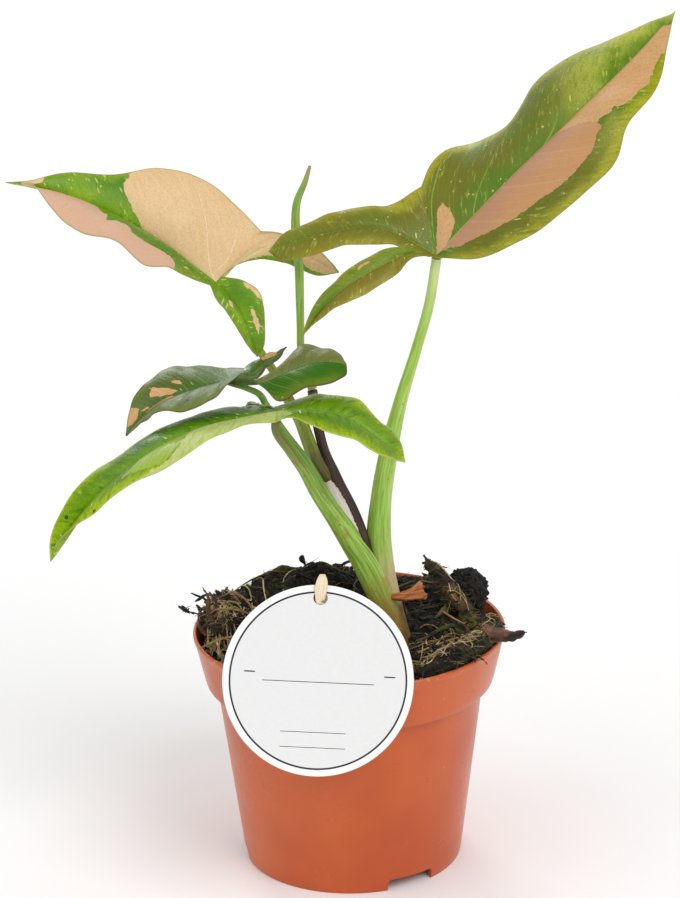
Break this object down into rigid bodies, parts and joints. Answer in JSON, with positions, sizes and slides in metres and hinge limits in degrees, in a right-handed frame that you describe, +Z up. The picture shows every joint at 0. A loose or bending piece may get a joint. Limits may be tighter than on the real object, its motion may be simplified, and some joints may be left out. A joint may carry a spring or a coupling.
{
  "type": "potted arrowhead plant",
  "caption": "Young arrowhead plant with variegated three-lobed leaves on slim stalks, in a round plastic nursery pot with peat and a round card tag.",
  "frame": {"origin": "centre of the whole object's box, on the ground under the pot's foot ring", "axes": "+Z up, +X to the right and -Y towards the side on which the tag hangs"},
  "size_m": [0.2462, 0.1314, 0.3282],
  "materials": {
    "pot_plastic": "terracotta-coloured plastic with a soft sheen",
    "peat": "dark crumbly peat",
    "dry_moss": "dry fibres and moss",
    "bark": "rough mossy bark",
    "leaf_right": "satin leaf, olive green with a pink-tan band",
    "leaf_left": "satin leaf, pink-tan with green patches",
    "leaf_middle": "satin leaf, dark olive green with tan spots",
    "leaf_front": "satin leaf, bright green with lime streaks",
    "green_stalk": "smooth light green stalk with darker streaks",
    "olive_stalk": "smooth yellow-green stalk turning brown at its foot",
    "new_leaf": "smooth rolled leaf",
    "brown_stem": "smooth dark brown stem",
    "papery_sheath": "dry translucent sheath",
    "dry_scale": "dry shrivelled scale",
    "tag_card": "smooth white card with a thin ring line",
    "tie_strip": "cream paper strip"
  },
  "bodies": {
    "root": {"pot": "pot_plastic", "soil": "peat", "moss_tuft": "dry_moss", "moss_clump": "dry_moss", "bark_strip": "bark", "bark_chip": "bark", "peat_clod": "peat", "leaf_right": "leaf_right", "leaf_left": "leaf_left", "leaf_middle": "leaf_middle", "leaf_front": "leaf_front", "stalk_right": "green_stalk", "stalk_front": "green_stalk", "stalk_middle": "green_stalk", "stalk_left": "olive_stalk", "new_leaf": "new_leaf", "old_stem": "brown_stem", "sheath": "papery_sheath", "dry_scale": "dry_scale", "tag": "tag_card", "tie": "tie_strip"}
  },
  "joints": []
}
